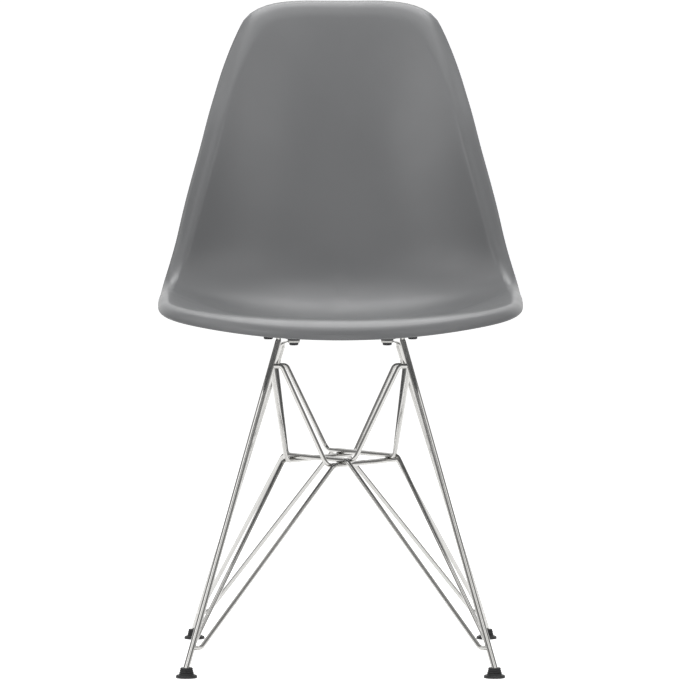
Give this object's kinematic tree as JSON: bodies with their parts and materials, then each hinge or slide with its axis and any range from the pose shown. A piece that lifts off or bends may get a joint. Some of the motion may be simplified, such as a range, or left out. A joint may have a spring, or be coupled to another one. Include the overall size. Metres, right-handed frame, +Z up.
{
  "type": "side chair",
  "caption": "Moulded plastic shell chair: one dished seat and back with a rolled rim, carried on a welded base of crossed bright wires with rubber-tipped legs.",
  "frame": {"origin": "on the floor, under the middle of the chair's overall width and depth", "axes": "+X is the sitter's left-to-right seen from the front as left to right of the picture, -Y is the front of the seat, +Z is up"},
  "size_m": [0.4666, 0.5515, 0.8309],
  "materials": {
    "shell_plastic": "smooth satin",
    "chrome_rod": "bright plated",
    "foot_plastic": "matte black, slightly soft",
    "black_pad": "matte",
    "black_screw": "black oxide",
    "insert_brass": "machined"
  },
  "bodies": {
    "root": {"seat_shell": "shell_plastic", "threaded_inserts": "insert_brass", "mount_screws": "black_screw", "mount_pad_front_left": "black_pad", "leg_front_left": "chrome_rod", "foot_front_left": "foot_plastic", "lower_wire_front_left": "chrome_rod", "upper_wire_front_left": "chrome_rod", "mount_pad_front_right": "black_pad", "leg_front_right": "chrome_rod", "foot_front_right": "foot_plastic", "lower_wire_front_right": "chrome_rod", "upper_wire_front_right": "chrome_rod", "mount_pad_rear_left": "black_pad", "leg_rear_left": "chrome_rod", "foot_rear_left": "foot_plastic", "lower_wire_rear_left": "chrome_rod", "upper_wire_rear_left": "chrome_rod", "mount_pad_rear_right": "black_pad", "leg_rear_right": "chrome_rod", "foot_rear_right": "foot_plastic", "lower_wire_rear_right": "chrome_rod", "upper_wire_rear_right": "chrome_rod"}
  },
  "joints": []
}
